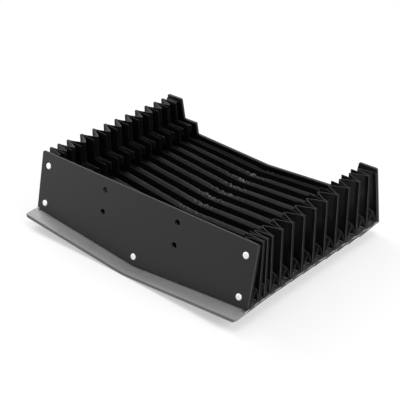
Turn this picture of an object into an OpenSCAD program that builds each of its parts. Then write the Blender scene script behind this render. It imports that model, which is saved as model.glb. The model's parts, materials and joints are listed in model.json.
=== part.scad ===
// U-shaped bellows cover with overlapping steel lamellae, lying with its open side up.
// X runs across the cover, Y from the closed front plate to the notched back plate, Z up.
// The lamellae form a shallow roof below the folds, and the cover rests on that roof's ridge.

/* [Cover] */
// Width over the end plates and folds
cover_w = 310; // [240:1:400]
// Height of a fold's straight side, from its corner to its top
side_h = 67.5; // [58:0.5:90]
// How far the roof's ridge lies below its corners
ridge_drop = 12; // [6:0.5:20]

/* [Folds] */
// Folds between the two end plates
folds = 13; // [8:1:14]
// Distance between two frames where the bellows is drawn open
fold_pitch = 18.6; // [14:0.1:24]
// Distance between two frames of the folds that are still closed up
closed_pitch = 12; // [11:0.1:14]
// How many folds behind the first one are still closed up
closed_folds = 2; // [0:1:3]
// Length of the first fold, along its lower edge
front_pitch = 20; // [17:0.5:24]
// Length of the last fold, along its lower edge
back_pitch = 23; // [19:0.5:28]
// How far the folds' right ends stand ahead of their left ends, where they are skewed most
skew = 20.5; // [0:0.5:24]
// The fold that is skewed most, counted from the front
skew_fold = 5; // [3:1:7]
// Gap between the folds' valleys and the frames' inner edges, at the arms
arm_gap = 3.5; // [2:0.5:5]
// Gap between the folds' valleys and the frames' inner edges, at the steps and the channel floor
floor_gap = 2; // [1.5:0.5:4]
// Height of the web's tip, which closes a fold's lower corner, above the frame's corner
corner_web = 12; // [10:0.5:16]

/* [Frames] */
// Thickness of a support frame
frame_t = 1.6; // [1:0.1:2]
// Width of a frame's side arm
arm_w = 24; // [22:0.5:30]
// Width of the step inside each arm
step_w = 20; // [10:0.5:30]
// Height of that step above the corner
step_h = 43; // [36:0.5:50]
// Height of the channel floor above the corner, at its sides
floor_h = 26.5; // [24:0.5:32]
// How far the channel floor falls towards the middle
floor_drop = 7; // [2:0.5:10]
// Height of a frame's lower corners
frame_lift = 2; // [1.5:0.5:4]

/* [End plates] */
// Thickness of the end plates
plate_t = 2.5; // [1.5:0.1:4]
// How far the front plate stands above the folds
front_rise = 1.5; // [0:0.5:4]
// Height of the front plate's lower corners
front_lift = 0.5; // [0.4:0.1:1]
// How far the back plate stands above the folds
back_rise = 4; // [0:0.5:8]
// How far the back plate's lower corners reach down
back_drop = 3.4; // [0:0.1:4]
// Radius of the end plates' corners
plate_r = 2; // [0.5:0.5:4]
// How far the front plate leans back, in degrees
front_lean = 12.5; // [0:0.5:13]
// How far the back plate leans forward, in degrees
back_lean = 10; // [0:0.5:12]

/* [Holes and rivets] */
// Distance between the mounting holes, across
hole_dx = 105; // [60:1:160]
// Distance between the mounting holes, upwards
hole_dz = 25; // [15:1:32]
// Height of the upper mounting holes above the corner
hole_top = 55.5; // [48:0.5:60]
// Diameter of a mounting hole
hole_d = 6.5; // [4:0.1:8]
// Diameter of a rivet's head
rivet_head_d = 8; // [6:0.1:9]
// Height of a rivet's head
rivet_head_h = 1.4; // [0.8:0.1:2]
// Diameter of a rivet's shank
rivet_d = 4; // [3:0.1:4.8]
// Distance from a rivet to the plate's side
rivet_side = 12; // [8:0.5:13]
// Height of the upper rivets above the corner
rivet_top = 54; // [48:0.5:58]
// Height of the lower front rivets and the middle one above the plate's lower edge
rivet_bottom = 9.5; // [9:0.5:12]

/* [Lamellae] */
// Thickness of a lamella's sheet
sheet_t = 0.3; // [0.2:0.05:0.5]
// Length of a lamella, from its clip to its hem
lamella_len = 35; // [28:0.5:45]
// Slope of a lamella, in degrees
lamella_slope = 5; // [4:0.5:8]
// Width of the hem along a lamella's front edge
hem_w = 2.8; // [1.5:0.1:4]
// How far the hem is bent down, in degrees
hem_bend = 45; // [20:5:80]
// Height of a lamella's rear edge at its corners
lamella_lift = 0.3; // [0.1:0.1:0.5]
// Height of the clip that grips the fold's seam
clip_h = 3; // [2:0.5:3]

/* [Fabric] */
// Thickness of the coated fabric
fabric_t = 0.6; // [0.4:0.1:1]
// Width of the welded seam on a frame's face
seam_w = 3.5; // [3.5:0.5:5]

/* [Hidden] */
// Gap between a rivet's shank and its hole
rivet_gap = 0.05;
// Gap between the fabric and what it lies on
lay_gap = 0.02;
// Thickness and diameter of a rivet's closed end
rivet_tail_h = 0.6;
rivet_tail_d = 5;
// Diameter and depth of the hollow in a rivet's head
rivet_eye_d = 2.4;
rivet_eye_h = 0.5;
// Distance from a step's rivet to the inner side of the arm
step_rivet_in = 3;
// Thickness of the doubled fabric along a valley
valley_t = 0.9;
// Each fold takes a third of the lean of its neighbour towards the end plate
lean_fade = 3;
// Distance from a corner web's tip to the outline, and how far its fabric reaches in behind it
web_tip_in = 0.5;
web_tip_t = 3;
// Width of the seam at the corner, and how far inwards and upwards from there it is full
web_seam = 1;
web_foot = 15;
web_rise = 18;
// Which station along a pleat's left half is the web's tip
tip_station = 4;
// Distance of the valley from the channel's corner, where the side's and the floor's part
web_parting = 8;
// Gap between a clip's end and the corner web
clip_gap = 9;
// Points on a rounded corner
arc_steps = 4;

half_w = cover_w / 2;
roof_slope = atan(ridge_drop / half_w);
last = folds;

// Places of the folds along Y: 0 is the front plate, the last is the back plate
function gap_before(i) =
    i == 1 ? front_pitch :
    i == last ? back_pitch :
    i <= closed_folds + 1 ? closed_pitch : fold_pitch;
function fold_y(i) = i == 0 ? 0 : fold_y(i - 1) + gap_before(i);
// A fold's skew grows to the fold that is skewed most, and fades towards the back plate
function skew_share(i) =
    i <= skew_fold
        ? (1 - cos(180 * i / skew_fold)) / 2
        : sin(90 * (last - i) / (last - skew_fold));
function yaw(i) = -atan(skew * skew_share(i) / cover_w);
// The end plates' leans fade from fold to fold
function lean(i) = front_lean / pow(lean_fade, i) - back_lean / pow(lean_fade, last - i);

// Faces of a fold's frame, measured from its place square to the frame
function rear_face(i) = i == 0 ? plate_t + frame_t : frame_t / 2;
function front_face(i) = i == last ? -plate_t - frame_t : -frame_t / 2;

// Place of a point of the leaning, skewed frame i: x across, h up the frame, f square to it
function in_frame(i, x, h, f) =
    let (y = h * sin(lean(i)) + f * cos(lean(i)))
    [
        x * cos(yaw(i)) - y * sin(yaw(i)),
        fold_y(i) + x * sin(yaw(i)) + y * cos(yaw(i)),
        h * cos(lean(i)) - f * sin(lean(i))
    ];

// Height of the roof line at x, with its corners at height z
function roof(x, z) = z - (half_w - abs(x)) * tan(roof_slope);

// The shared inner outline of the channel, from the left arm's top to the right arm's
arm_x = half_w - arm_w;
step_x = arm_x - step_w;
function channel(top) = [
    [-arm_x, top], [-arm_x, step_h], [-step_x, step_h], [-step_x, floor_h],
    [0, floor_h - floor_drop],
    [step_x, floor_h], [step_x, step_h], [arm_x, step_h], [arm_x, top]
];
// The outer outline, from the right arm's top to the left arm's
function outside(top, bottom) = [
    [half_w, top], [half_w, bottom], [0, roof(0, bottom)], [-half_w, bottom], [-half_w, top]
];

// Corner b of an outline, rounded to radius r towards its neighbours a and c
function corner_arc(a, b, c, r) =
    let (
        u = (a - b) / norm(a - b),
        v = (c - b) / norm(c - b),
        half = acos(u * v) / 2,
        middle = b + (u + v) / norm(u + v) * r / sin(half),
        start = b + u * r / tan(half) - middle,
        turn = cross(start, b + v * r / tan(half) - middle) > 0 ? 180 - 2 * half : 2 * half - 180
    )
    [for (k = [0 : arc_steps])
        let (t = atan2(start.y, start.x) + turn * k / arc_steps)
        middle + r * [cos(t), sin(t)]];

// An outline with the corners named in which rounded to radius r
function rounded(points, which, r) = [
    for (k = [0 : len(points) - 1])
        let (n = len(points))
        each len(search(k, which)) > 0
            ? corner_arc(points[(k + n - 1) % n], points[k], points[(k + 1) % n], r)
            : [points[k]]
];

// Stands its children, drawn flat with their face down, on frame i's place at depth f
module stand(i, f = 0)
    translate([0, fold_y(i), 0])
        rotate([-lean(i), 0, yaw(i)])
            translate([0, f, 0])
                rotate([90, 0, 0])
                    mirror([0, 0, 1])
                        children();

// A rivet that joins an end plate to its frame: its head lies outside, on the plate
module rivet()
    difference() {
        union() {
            intersection() {
                dome_r = (pow(rivet_head_d / 2, 2) + pow(rivet_head_h, 2)) / (2 * rivet_head_h);
                translate([0, 0, dome_r - rivet_head_h])
                    sphere(dome_r, $fn = 96);
                translate([0, 0, -rivet_head_h])
                    cylinder(h = rivet_head_h, d = rivet_head_d, $fn = 64);
            }
            cylinder(h = plate_t + frame_t, d = rivet_d, $fn = 48);
            translate([0, 0, plate_t + frame_t - rivet_tail_h])
                cylinder(h = rivet_tail_h, d = rivet_tail_d, $fn = 48);
        }
        translate([0, 0, -rivet_head_h - 1])
            cylinder(h = rivet_eye_h + 1, d = rivet_eye_d, $fn = 32);
    }

front_rivet_places = [
    for (s = [-1, 1]) each [
        [s * (half_w - rivet_side), rivet_top],
        [s * (half_w - rivet_side), rivet_bottom]
    ],
    [0, roof(0, rivet_bottom)]
];
back_rivet_places = [
    for (s = [-1, 1]) each [
        [s * (half_w - rivet_side), rivet_top],
        [s * (arm_x - step_rivet_in), step_h - rivet_bottom]
    ],
    [0, floor_h - floor_drop - rivet_bottom]
];

module rivet_holes(places)
    for (p = places)
        translate([p.x, p.y, -1])
            cylinder(h = plate_t + frame_t + 2, d = rivet_d + 2 * rivet_gap, $fn = 48);

// Seats in an end frame for the rivets' closed ends, from height z
module tail_seats(places, z)
    for (p = places)
        translate([p.x, p.y, z])
            cylinder(h = rivet_tail_h + 1, d = rivet_tail_d + 2 * rivet_gap, $fn = 48);

module front_plate()
    color([0.17, 0.17, 0.17])
        stand(0)
            difference() {
                linear_extrude(plate_t)
                    polygon(rounded(outside(side_h + front_rise, front_lift), [0, 1, 3, 4], plate_r));
                for (x = [-hole_dx / 2, hole_dx / 2], h = [hole_top, hole_top - hole_dz])
                    translate([x, h, -1])
                        cylinder(h = plate_t + 2, d = hole_d, $fn = 64);
                rivet_holes(front_rivet_places);
            }

module back_plate()
    color([0.15, 0.15, 0.15])
        stand(last, -plate_t)
            difference() {
                linear_extrude(plate_t)
                    polygon(rounded(
                        concat(outside(side_h + back_rise, -back_drop), channel(side_h + back_rise)),
                        [0, 1, 3, 4, 5, 13], plate_r));
                translate([0, 0, -frame_t])
                    rivet_holes(back_rivet_places);
            }

module frame_outline()
    polygon(concat(outside(side_h, frame_lift), channel(side_h)));

module front_end_frame()
    color([0.07, 0.07, 0.07])
        stand(0, plate_t)
            difference() {
                linear_extrude(frame_t) frame_outline();
                translate([0, 0, -plate_t]) rivet_holes(front_rivet_places);
                tail_seats(front_rivet_places, frame_t - rivet_tail_h);
            }

module back_end_frame()
    color([0.07, 0.07, 0.07])
        stand(last, front_face(last))
            difference() {
                linear_extrude(frame_t) frame_outline();
                rivet_holes(back_rivet_places);
                tail_seats(back_rivet_places, -1);
            }

module frame(i)
    color([0.12, 0.12, 0.12])
        stand(i, front_face(i))
            linear_extrude(frame_t) frame_outline();

module front_rivets()
    color([0.93, 0.93, 0.92])
        stand(0)
            for (p = front_rivet_places)
                translate([p.x, p.y, 0]) rivet();

module back_rivets()
    color([0.93, 0.93, 0.92])
        stand(last)
            for (p = back_rivet_places)
                translate([p.x, p.y, 0]) mirror([0, 0, 1]) rivet();

// Stations along the left half of a pleat, from its top to the middle. Each has a point of the
// outline, a point of the valley, the way in from the outline along the frame's face, the way from
// the valley's outer side to its inner side, and the width of the seam. The valley follows the
// channel, and runs out to the tip of a web at the lower corner, so that the corner stays closed.
function left_stations() =
    let (
        arm = -arm_x - arm_gap,
        step = -step_x - floor_gap,
        ledge = step_h - floor_gap,
        low = floor_h - floor_gap,
        foot = -half_w + web_foot,
        rise = frame_lift + web_rise,
        side_end = [step, low + web_parting],
        floor_end = [step + web_parting, low],
        tip = [-half_w + web_tip_in, frame_lift + corner_web],
        behind = (side_end + floor_end) / 2 - tip
    )
    [
        [[-half_w, side_h], [arm, side_h], [1, 0], [valley_t, 0], seam_w],
        [[-half_w, ledge], [arm, ledge], [1, 0], [valley_t, valley_t], seam_w],
        [[-half_w, (ledge + rise) / 2], [step, ledge], [1, 0], [valley_t, valley_t], seam_w],
        [[-half_w, rise], side_end, [1, 0], [valley_t, -valley_t / 2], seam_w],
        [[-half_w, frame_lift], tip, [1, 1], web_tip_t * behind / norm(behind), web_seam],
        [[foot, roof(foot, frame_lift)], floor_end, [0, 1], [0, valley_t], seam_w],
        [[0, roof(0, frame_lift)], [0, low - floor_drop], [0, 1], [0, valley_t], seam_w]
    ];
function mirrored(p) = [-p.x, p.y];
function stations() =
    let (left = left_stations(), n = len(left))
    concat(left, [
        for (k = [n - 2 : -1 : 0])
            let (s = left[k])
            [mirrored(s[0]), mirrored(s[1]), mirrored(s[2]), mirrored(s[3]), s[4]]
    ]);

// The ten corners of pleat i's section at station s: five outside, then five inside
function pleat_section(i, s) =
    let (
        a = rear_face(i - 1) + lay_gap,
        b = front_face(i) - lay_gap,
        rim = s[0],
        edge = rim + s[4] * s[2],
        edge_in = rim + (s[4] + fabric_t) * s[2],
        valley = s[1],
        valley_in = valley + s[3]
    )
    [
        in_frame(i - 1, rim.x, rim.y, a + fabric_t),
        in_frame(i - 1, edge.x, edge.y, a + fabric_t),
        (in_frame(i - 1, valley.x, valley.y, a) + in_frame(i, valley.x, valley.y, b)) / 2,
        in_frame(i, edge.x, edge.y, b - fabric_t),
        in_frame(i, rim.x, rim.y, b - fabric_t),
        in_frame(i, rim.x, rim.y, b),
        in_frame(i, edge_in.x, edge_in.y, b),
        (in_frame(i - 1, valley_in.x, valley_in.y, a) + in_frame(i, valley_in.x, valley_in.y, b)) / 2,
        in_frame(i - 1, edge_in.x, edge_in.y, a),
        in_frame(i - 1, rim.x, rim.y, a)
    ];

// A fold of coated fabric, welded to the rear of frame i - 1 and to the front of frame i
module pleat(i) {
    places = stations();
    m = 10;
    n = len(places);
    cap = [[0, 1, 8], [0, 8, 9], [1, 2, 7], [1, 7, 8], [2, 3, 6], [2, 6, 7], [3, 4, 5], [3, 5, 6]];
    color([0.06, 0.06, 0.06])
        polyhedron(
            points = [for (s = places) each pleat_section(i, s)],
            faces = concat(
                cap,
                [for (k = [0 : n - 2], j = [0 : m - 1])
                    let (
                        p = k * m + j,
                        q = k * m + (j + 1) % m,
                        on_right = k > n / 2 - 1,
                        left_k = on_right ? n - 2 - k : k,
                        to_tip = left_k == tip_station - 1,
                        from_valley = j % (m / 2) == 2 || j % (m / 2) == 3
                    )
                    // Both sheets bend alike, each along the same diagonals on both its sides
                    each ((to_tip != on_right) != from_valley)
                        ? [[p, p + m, q + m], [p, q + m, q]]
                        : [[p, p + m, q], [q, p + m, q + m]]],
                [for (c = cap) [for (k = [2 : -1 : 0]) c[k] + (n - 1) * m]]
            )
        );
}

// Lamella i hangs on the front of frame i's seam. Its rear lower edge lies at depth f there,
// and at height h up the leaning frame, so that every lamella starts at the same level.
function clip_f(i) = front_face(i) - fabric_t - 2 * lay_gap;
function clip_foot(i) = (lamella_lift + clip_f(i) * sin(lean(i))) / cos(lean(i));

// The front edge of lamella i's sheet and the tip of its hem, from its rear lower edge, as [f, h]
function sheet_way(i, bend) = let (a = lamella_slope + lean(i) + bend) [-cos(a), -sin(a)];
function sheet_end(i) = lamella_len * sheet_way(i, 0);
function hem_end(i) = sheet_end(i) + hem_w * sheet_way(i, hem_bend);

// Upper side of a sheet that runs along way, and the corner offset where two of them meet
function upper(way) = [way.y, -way.x];
function mitre(a, b, t) = t * (a + b) / (1 + a * b);

// Section of lamella i from its rear lower edge over the hem and back along the upper side
function lamella_section(i) =
    let (
        n_sheet = upper(sheet_way(i, 0)),
        n_hem = upper(sheet_way(i, hem_bend))
    )
    [
        [0, 0], sheet_end(i), hem_end(i),
        hem_end(i) + sheet_t * n_hem,
        sheet_end(i) + mitre(n_sheet, n_hem, sheet_t),
        mitre(n_sheet, [-1, 0], sheet_t)
    ];

// A stainless lamella: two wings that meet at the ridge, with a hem in front and a clip behind
module lamella(i) {
    clip_top = frame_lift + clip_h - clip_foot(i);
    clip_x = web_foot + clip_gap;

    module wing()
        intersection() {
            translate([-half_w, clip_f(i), clip_foot(i)])
                rotate([0, roof_slope, 0])
                    rotate([90, 0, 90]) {
                        linear_extrude(half_w + ridge_drop)
                            polygon(lamella_section(i));
                        translate([0, 0, clip_x])
                            linear_extrude(half_w)
                                polygon([
                                    [0, 0], mitre(upper(sheet_way(i, 0)), [-1, 0], sheet_t),
                                    [-sheet_t, clip_top], [0, clip_top]
                                ]);
                    }
            translate([-half_w, -2 * lamella_len, -side_h])
                cube([half_w, 3 * lamella_len, 2 * side_h]);
        }

    color([0.72, 0.73, 0.74])
        translate([0, fold_y(i), 0])
            rotate([-lean(i), 0, yaw(i)]) {
                wing();
                mirror([1, 0, 0]) wing();
            }
}

// Extent of the whole cover, to stand it on the middle of its underside
function in_lamella(i, x, p) =
    in_frame(i, x, clip_foot(i) + roof(x, 0) + p.y / cos(roof_slope), clip_f(i) + p.x);
back_tip = in_frame(last, 0, roof(0, -back_drop), 0);
lowest = min(back_tip.z, min([for (i = [1 : folds]) in_lamella(i, 0, hem_end(i)).z]));
foremost = in_lamella(1, half_w, lamella_section(1)[3]).y;
rearmost = back_tip.y;
leftmost = min([for (i = [1 : folds]) in_lamella(i, -half_w, lamella_section(i)[3]).x]);

function two_digits(i) = str(i < 10 ? "0" : "", i);

translate([-(leftmost + half_w) / 2, -(foremost + rearmost) / 2, -lowest]) {
    front_plate();
    front_end_frame();
    front_rivets();
    back_plate();
    back_end_frame();
    back_rivets();
    for (i = [1 : folds - 1])
        frame(i);
    for (i = [1 : folds])
        pleat(i);
    for (i = [1 : folds])
        lamella(i);
}
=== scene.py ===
"""Looks of a U-shaped bellows cover: fabric folds, steel lamellae, painted plates, rivets, studio.

Lengths are in metres. Every piece lies in the frame of the CAD model: X across the cover, Y from
the closed front plate to the notched back plate, Z up, with the cover standing on the floor Z = 0.
"""
from __future__ import annotations

import json
import logging
import math
from dataclasses import dataclass, field
from enum import Enum
from typing import Callable

import bmesh
import bpy
import numpy as np
from mathutils import Matrix, Vector, noise

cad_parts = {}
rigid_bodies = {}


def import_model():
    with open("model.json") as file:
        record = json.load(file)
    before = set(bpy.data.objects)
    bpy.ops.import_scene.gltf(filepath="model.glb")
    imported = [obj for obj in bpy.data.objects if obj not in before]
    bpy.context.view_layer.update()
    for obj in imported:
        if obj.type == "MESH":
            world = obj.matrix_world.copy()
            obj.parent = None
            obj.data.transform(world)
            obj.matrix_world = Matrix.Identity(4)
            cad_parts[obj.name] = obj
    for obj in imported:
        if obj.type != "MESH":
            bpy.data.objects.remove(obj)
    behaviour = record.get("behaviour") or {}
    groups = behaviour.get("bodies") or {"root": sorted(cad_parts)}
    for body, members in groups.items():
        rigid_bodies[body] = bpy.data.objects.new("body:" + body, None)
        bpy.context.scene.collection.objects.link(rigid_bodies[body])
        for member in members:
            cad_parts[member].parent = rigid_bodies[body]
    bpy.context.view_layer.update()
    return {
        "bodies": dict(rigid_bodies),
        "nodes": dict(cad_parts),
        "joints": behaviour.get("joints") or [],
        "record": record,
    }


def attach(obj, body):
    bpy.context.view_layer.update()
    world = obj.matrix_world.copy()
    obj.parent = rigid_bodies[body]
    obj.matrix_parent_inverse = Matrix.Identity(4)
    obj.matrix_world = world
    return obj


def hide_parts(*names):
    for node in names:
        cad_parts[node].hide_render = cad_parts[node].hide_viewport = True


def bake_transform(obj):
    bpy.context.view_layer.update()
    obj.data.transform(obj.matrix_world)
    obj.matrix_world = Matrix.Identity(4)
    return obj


LOG = logging.getLogger("bellows_cover")
MM = 0.001
CLOSE = 1e-5  # places as near as this are the same when faces and edges are picked
WELD = 1e-6  # vertices as near as this are merged
TINY = 1e-9  # a vector as short as this has no direction
CUT_DIGITS = 5  # decimals of the places at which a sheet is cut
POINT_DIGITS = 7  # decimals to which a node's vertices are told apart

Obj = bpy.types.Object
Socket = bpy.types.NodeSocket
Tree = bpy.types.NodeTree
Tone = tuple[float, float, float, float]
Row = list[tuple[Vector, float]]
EdgeFaces = dict[tuple[int, int], list[int]]


class Slot(Enum):
    """The record's material slots."""

    PLATE = "plate_paint"
    FRAME = "frame_plastic"
    FABRIC = "coated_fabric"
    STEEL = "lamella_steel"
    RIVET = "rivet_aluminium"


class Element(Enum):
    """What is selected in edit mode."""

    EDGE = "EDGE"
    FACE = "FACE"


class Outside(Enum):
    """Which way a rivet's head looks along the cover."""

    FRONT = -1
    BACK = 1


def grey(level: float, blue: float | None = None) -> Tone:
    """A grey, with a blue of its own where it isn't neutral."""
    return (level, level, level if blue is None else blue, 1.0)


class Draws:
    """Steps through the noise, which give each fold, sheet and row bumps of its own.

    Attributes:
        fold: Step of the crumples from fold to fold.
        row: Step of the crumples from row to row.
        wander: Step of the sine that moves each fold's crumples sideways.
        ripple: Step of the valley's ripple from fold to fold, and its level.
        panel: Step of the bulges from one sheet to the other, and from fold to fold.
        highlight: Step of the painted highlight's patches from fold to fold, and their level.
        lamella: Step of the waves from lamella to lamella.
        dent_row: Row of the valley's dents, after those of its pushes.
        panel_row: Row of the panels' crumples.
        glint_row: First row of the glints.
    """

    fold = 7.3
    row = 1.7
    wander = 17.0
    ripple = (17.0, 0.3)
    panel = (5, 3.1)
    worn = (5.1, 2.2)
    lamella = 9.3
    dent_row = 2
    panel_row = 3
    glint_row = 9

    @staticmethod
    def at(x: float, y: float, z: float) -> float:
        """The noise at a place, between about -1 and 1."""
        return noise.noise(Vector((x, y, z)))


# Editing


def link(thing: Obj) -> None:
    """Puts an object into the scene."""
    bpy.context.scene.collection.objects.link(thing)


def stand(name: str, data: bpy.types.ID, spot: Vector, way: Vector) -> Obj:
    """Puts a camera or a lamp into the scene.

    Args:
        name: Its name.
        data: Its camera or light.
        spot: Where it stands.
        way: The direction that its back looks in.

    Returns:
        The object.
    """
    thing = bpy.data.objects.new(name, data)
    thing.location = spot
    thing.rotation_euler = way.to_track_quat("Z", "Y").to_euler()
    link(thing)
    return thing


def deselect_all() -> None:
    """Deselects every object."""
    for other in bpy.context.selected_objects:
        other.select_set(False)


def make_active(piece: Obj) -> None:
    """Selects one object alone and makes it active.

    Args:
        piece: The object.
    """
    deselect_all()
    piece.select_set(True)
    bpy.context.view_layer.objects.active = piece


def edit_mesh(piece: Obj, element: Element) -> bmesh.types.BMesh:
    """Opens a piece in edit mode with nothing selected.

    Args:
        piece: The mesh object.
        element: What is going to be selected.

    Returns:
        The edit mesh, to select in.
    """
    make_active(piece)
    bpy.ops.object.mode_set(mode="EDIT")
    bpy.ops.mesh.select_mode(type=element.value)
    bpy.ops.mesh.select_all(action="DESELECT")
    return bmesh.from_edit_mesh(piece.data)


def leave_edit(piece: Obj) -> None:
    """Writes the edit mesh back and returns to object mode."""
    bmesh.update_edit_mesh(piece.data)
    bpy.ops.object.mode_set(mode="OBJECT")


def choose(piece: Obj, element: Element, test: Callable[[Vector], bool]) -> None:
    """Opens a piece in edit mode and selects the edges or faces whose middle passes a test.

    Args:
        piece: The mesh object, which stays in edit mode.
        element: What is selected.
        test: Says whether a middle point is wanted.
    """
    mesh = edit_mesh(piece, element)
    if element is Element.EDGE:
        found = [(e, (e.verts[0].co + e.verts[1].co) / 2) for e in mesh.edges]
    else:
        found = [(f, f.calc_center_median()) for f in mesh.faces]
    for part, middle in found:
        if test(middle):
            part.select_set(True)
    mesh.select_flush(True)
    bmesh.update_edit_mesh(piece.data)


def extrude(way: tuple[float, float, float]) -> None:
    """Extrudes what is selected in edit mode and moves it."""
    bpy.ops.mesh.extrude_region_move(TRANSFORM_OT_translate={"value": way})


def apply_modifier(piece: Obj, kind: str, **settings: object) -> None:
    """Adds a modifier to a piece, sets it and applies it.

    Args:
        piece: The mesh object.
        kind: The modifier's type.
        settings: Its attributes.
    """
    make_active(piece)
    modifier = piece.modifiers.new(kind.lower(), kind)
    for name, value in settings.items():
        setattr(modifier, name, value)
    bpy.ops.object.modifier_apply(modifier=modifier.name)


def apply_place(scale: bool = True) -> None:
    """Applies the active object's place, and its scale if wanted."""
    bpy.ops.object.transform_apply(location=True, rotation=False, scale=scale)


def settle(piece: Obj, name: str, material: bpy.types.Material) -> None:
    """Names a finished piece, applies its place and gives it its material.

    Args:
        piece: The mesh object.
        name: Its name.
        material: Its material, in place of those that it has.
    """
    make_active(piece)
    bpy.ops.object.transform_apply(location=True, rotation=True, scale=True)
    piece.name = piece.data.name = name
    piece.data.materials.clear()
    piece.data.materials.append(material)


def smooth(piece: Obj, degrees: float) -> None:
    """Shades a piece smooth, with edges sharper than an angle kept sharp."""
    make_active(piece)
    bpy.ops.object.shade_smooth_by_angle(angle=math.radians(degrees))


def join(pieces: list[Obj]) -> Obj:
    """Joins several objects into the first one.

    Args:
        pieces: The objects.

    Returns:
        The joined object.
    """
    deselect_all()
    for piece in pieces:
        piece.select_set(True)
    bpy.context.view_layer.objects.active = pieces[0]
    bpy.ops.object.join()
    return pieces[0]


def add_values(mesh: bpy.types.Mesh, name: str, domain: str, values: list[float]) -> None:
    """Gives a mesh a float attribute with its values.

    Args:
        mesh: The mesh.
        name: The attribute's name. One that is there already is replaced.
        domain: POINT or FACE.
        values: One value for each point or face.
    """
    if name in mesh.attributes:
        mesh.attributes.remove(mesh.attributes[name])
    mesh.attributes.new(name, "FLOAT", domain).data.foreach_set("value", values)


# Shader nodes


class Sheet:
    """A node tree with short calls to add and link its nodes."""

    def __init__(self, tree: Tree) -> None:
        """Takes over a tree and empties it."""
        self.tree = tree
        tree.nodes.clear()

    @classmethod
    def group(
        cls, name: str, inputs: dict[str, float | None], outputs: tuple[str, ...]
    ) -> tuple[Sheet, list[Socket]]:
        """Starts a shader node group.

        Args:
            name: The group's name.
            inputs: Its float inputs with their values, or None for a vector input.
            outputs: Its float outputs.

        Returns:
            The group's sheet, and one socket for each of its inputs.
        """
        tree = bpy.data.node_groups.new(name, "ShaderNodeTree")
        for key, value in inputs.items():
            kind = "NodeSocketVector" if value is None else "NodeSocketFloat"
            socket = tree.interface.new_socket(name=key, in_out="INPUT", socket_type=kind)
            if value is not None:
                socket.default_value = value
        for key in outputs:
            tree.interface.new_socket(name=key, in_out="OUTPUT", socket_type="NodeSocketFloat")
        sheet = cls(tree)
        return sheet, list(sheet.add("NodeGroupInput").outputs)[: len(inputs)]

    def close(self, *values: Socket) -> Tree:
        """Feeds a group's outputs.

        Args:
            values: One socket for each output.

        Returns:
            The group's tree.
        """
        sink = self.add("NodeGroupOutput")
        for k, value in enumerate(values):
            self.put(sink.inputs[k], value)
        return self.tree

    def put(self, socket: Socket, value: object) -> None:
        """Links an output to an input socket, or sets the socket's own value.

        Args:
            socket: The input socket.
            value: The output socket or the value.
        """
        if isinstance(value, Socket):
            self.tree.links.new(value, socket)
        else:
            socket.default_value = value

    def add(self, kind: str, inputs: dict | None = None, **settings: object) -> bpy.types.Node:
        """Adds a node.

        Args:
            kind: The node type, without its ShaderNode prefix.
            inputs: Values or output sockets for the node's inputs, by name or number.
            settings: Attributes of the node.

        Returns:
            The node.
        """
        full = kind if kind.startswith("NodeGroup") else "ShaderNode" + kind
        node = self.tree.nodes.new(full)
        for name, value in settings.items():
            setattr(node, name, value)
        for key, value in (inputs or {}).items():
            self.put(node.inputs[key], value)
        return node

    def math(self, operation: str, a: object, b: object, clamp: bool = False) -> Socket:
        """Adds a Math node and returns its output."""
        return self.add("Math", {0: a, 1: b}, operation=operation, use_clamp=clamp).outputs[0]

    def spread(
        self, value: object, low: float, high: float, to_low: float = 0, to_high: float = 1
    ) -> Socket:
        """Maps a value from one range to another, clamped, and returns it."""
        keys = {0: value, 1: low, 2: high, 3: to_low, 4: to_high}
        return self.add("MapRange", keys, clamp=True).outputs[0]

    def mix(self, share: object, a: object, b: object) -> Socket:
        """Mixes two colours by a share and returns the result."""
        return self.add("Mix", {0: share, 6: a, 7: b}, data_type="RGBA").outputs[2]

    def noise(self, vector: Socket, scale: object, detail: float, distortion: float = 0) -> Socket:
        """Adds a Noise texture and returns its value."""
        keys = {"Vector": vector, "Scale": scale, "Detail": detail, "Distortion": distortion}
        return self.add("TexNoise", keys).outputs[0]

    def stretched(self, vector: Socket, scale: tuple[float, float, float]) -> Socket:
        """Scales a vector by axis and returns it."""
        return self.add("Mapping", {"Vector": vector, "Scale": scale}).outputs[0]

    def mask(self, name: str) -> Socket:
        """The value of one of the mesh's own attributes, 0 where it has none."""
        return self.add("Attribute", attribute_name=name).outputs["Fac"]

    def seen(self) -> Socket:
        """Tells what is seen from light on the object.

        Returns:
            1 for what is seen, straight, mirrored or through glass, and 0 otherwise.
        """
        path = self.add("LightPath").outputs
        seen = self.math("MAXIMUM", path["Is Camera Ray"], path["Is Glossy Ray"])
        return self.math("MAXIMUM", seen, path["Is Transmission Ray"])


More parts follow.
